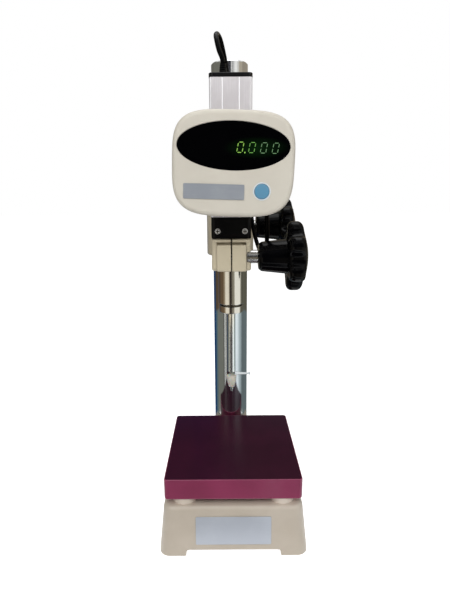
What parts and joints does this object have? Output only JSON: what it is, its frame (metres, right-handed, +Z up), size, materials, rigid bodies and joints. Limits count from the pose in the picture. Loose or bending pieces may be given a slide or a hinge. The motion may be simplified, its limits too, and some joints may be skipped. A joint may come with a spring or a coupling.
{
  "type": "digital length gauge on comparator stand",
  "caption": "Bench height comparator: a digital length gauge with oval display, clamped to a steel column over a square measuring table on a cast base.",
  "frame": {"origin": "centre of the measuring table's top face", "axes": "+Z up along the column, +X to the user's right, -Y towards the user"},
  "size_m": [0.1839, 0.2663, 0.602],
  "materials": {
    "casting": "cream enamel on cast iron, semi-gloss",
    "table": "polished dark maroon plate",
    "ground_steel": "ground and chromed",
    "screw_steel": "turned steel",
    "knob": "black moulded plastic",
    "black_paint": "satin black",
    "black_plastic": "matt black",
    "anodised": "natural anodised, drawn along its length",
    "cream_shell": "light warm cream, fine satin",
    "dark_window": "smoked acrylic, polished",
    "blue_button": "light blue",
    "pale_plastic": "pale",
    "label_plate": "bare plate",
    "name_plate": "bare plate",
    "nylon": "milky nylon",
    "lead_jacket": "black, slightly glossy",
    "bronze": "turned bronze",
    "circuit_board": "green solder resist",
    "scale_glass": "polished glass"
  },
  "bodies": {
    "stand": {"base_casting": "casting", "base_label_plate": "label_plate", "measuring_table": "table", "table_screw_1": "screw_steel", "table_screw_2": "screw_steel", "table_screw_3": "screw_steel", "table_screw_4": "screw_steel", "column": "ground_steel", "column_bolt": "screw_steel"},
    "bracket": {"bracket_casting": "casting"},
    "stem_clamp": {"stem_clamp_handle": "knob", "stem_clamp_screw": "screw_steel"},
    "column_clamp": {"column_clamp_handle": "knob", "column_clamp_screw": "screw_steel"},
    "gauge": {"lower_block": "black_paint", "block_screw_left": "screw_steel", "block_screw_right": "screw_steel", "gauge_body": "anodised", "top_cap": "black_paint", "cap_screw_1": "screw_steel", "cap_screw_2": "screw_steel", "cap_screw_3": "screw_steel", "cap_screw_4": "screw_steel", "gauge_stem": "ground_steel", "stem_end_ring": "ground_steel", "lower_bush": "bronze", "upper_bush": "bronze", "guide_rod": "ground_steel", "reader_head": "black_plastic", "signal_board": "circuit_board", "drum_axle": "screw_steel", "spring_strip": "ground_steel", "display_mount": "black_paint", "display_bolt": "screw_steel", "display_front_shell": "cream_shell", "display_back_shell": "cream_shell", "shell_screw_1": "screw_steel", "shell_screw_2": "screw_steel", "shell_screw_3": "screw_steel", "shell_screw_4": "screw_steel", "display_window": "dark_window", "digit_module": "black_plastic", "display_board": "circuit_board", "button_switch": "black_plastic", "button_bezel": "pale_plastic", "display_name_plate": "name_plate", "power_inlet": "black_plastic", "display_gland": "lead_jacket", "cap_gland": "lead_jacket", "lead": "lead_jacket"},
    "spindle": {"spindle_rod": "ground_steel", "stop_collar": "screw_steel", "scale_carriage": "anodised", "glass_scale": "scale_glass", "tip_holder": "nylon", "contact_tip": "screw_steel"},
    "spring_drum": {"spring_drum": "bronze"},
    "zero_button": {"zero_button": "blue_button"}
  },
  "joints": [
    {"name": "bracket_height", "type": "slide", "parent": "stand", "child": "bracket", "axis": [0, 0, 1], "range_m": [-0.06, 0.17]},
    {"name": "gauge_lift", "type": "slide", "parent": "bracket", "child": "gauge", "axis": [0, 0, 1], "range_m": [0, 0.03]},
    {"name": "column_clamp_turn", "type": "hinge", "parent": "bracket", "child": "column_clamp", "pos_m": [0.024, 0.142, 0.272], "axis": [1, 0, 0], "range_deg": [0, 360]},
    {"name": "stem_clamp_turn", "type": "hinge", "parent": "bracket", "child": "stem_clamp", "pos_m": [0.024, -0.0044, 0.2465], "axis": [1, 0, 0], "range_deg": [0, 360]},
    {"name": "spindle_stroke", "type": "slide", "parent": "gauge", "child": "spindle", "axis": [0, 0, 1], "range_m": [0, 0.05], "deforming": ["spring_strip"]},
    {"name": "spring_drum_turn", "type": "hinge", "parent": "gauge", "child": "spring_drum", "pos_m": [-0.01, 0.034, 0.43], "axis": [1, 0, 0], "range_deg": [-360, 0]},
    {"name": "zero_button_press", "type": "slide", "parent": "gauge", "child": "zero_button", "axis": [0, 1, 0], "range_m": [0, 0.001], "stiffness_N_per_m": 600}
  ],
  "couplings": [
    {"joint": "spring_drum_turn", "follows": "spindle_stroke", "rad_per_m": -125}
  ]
}
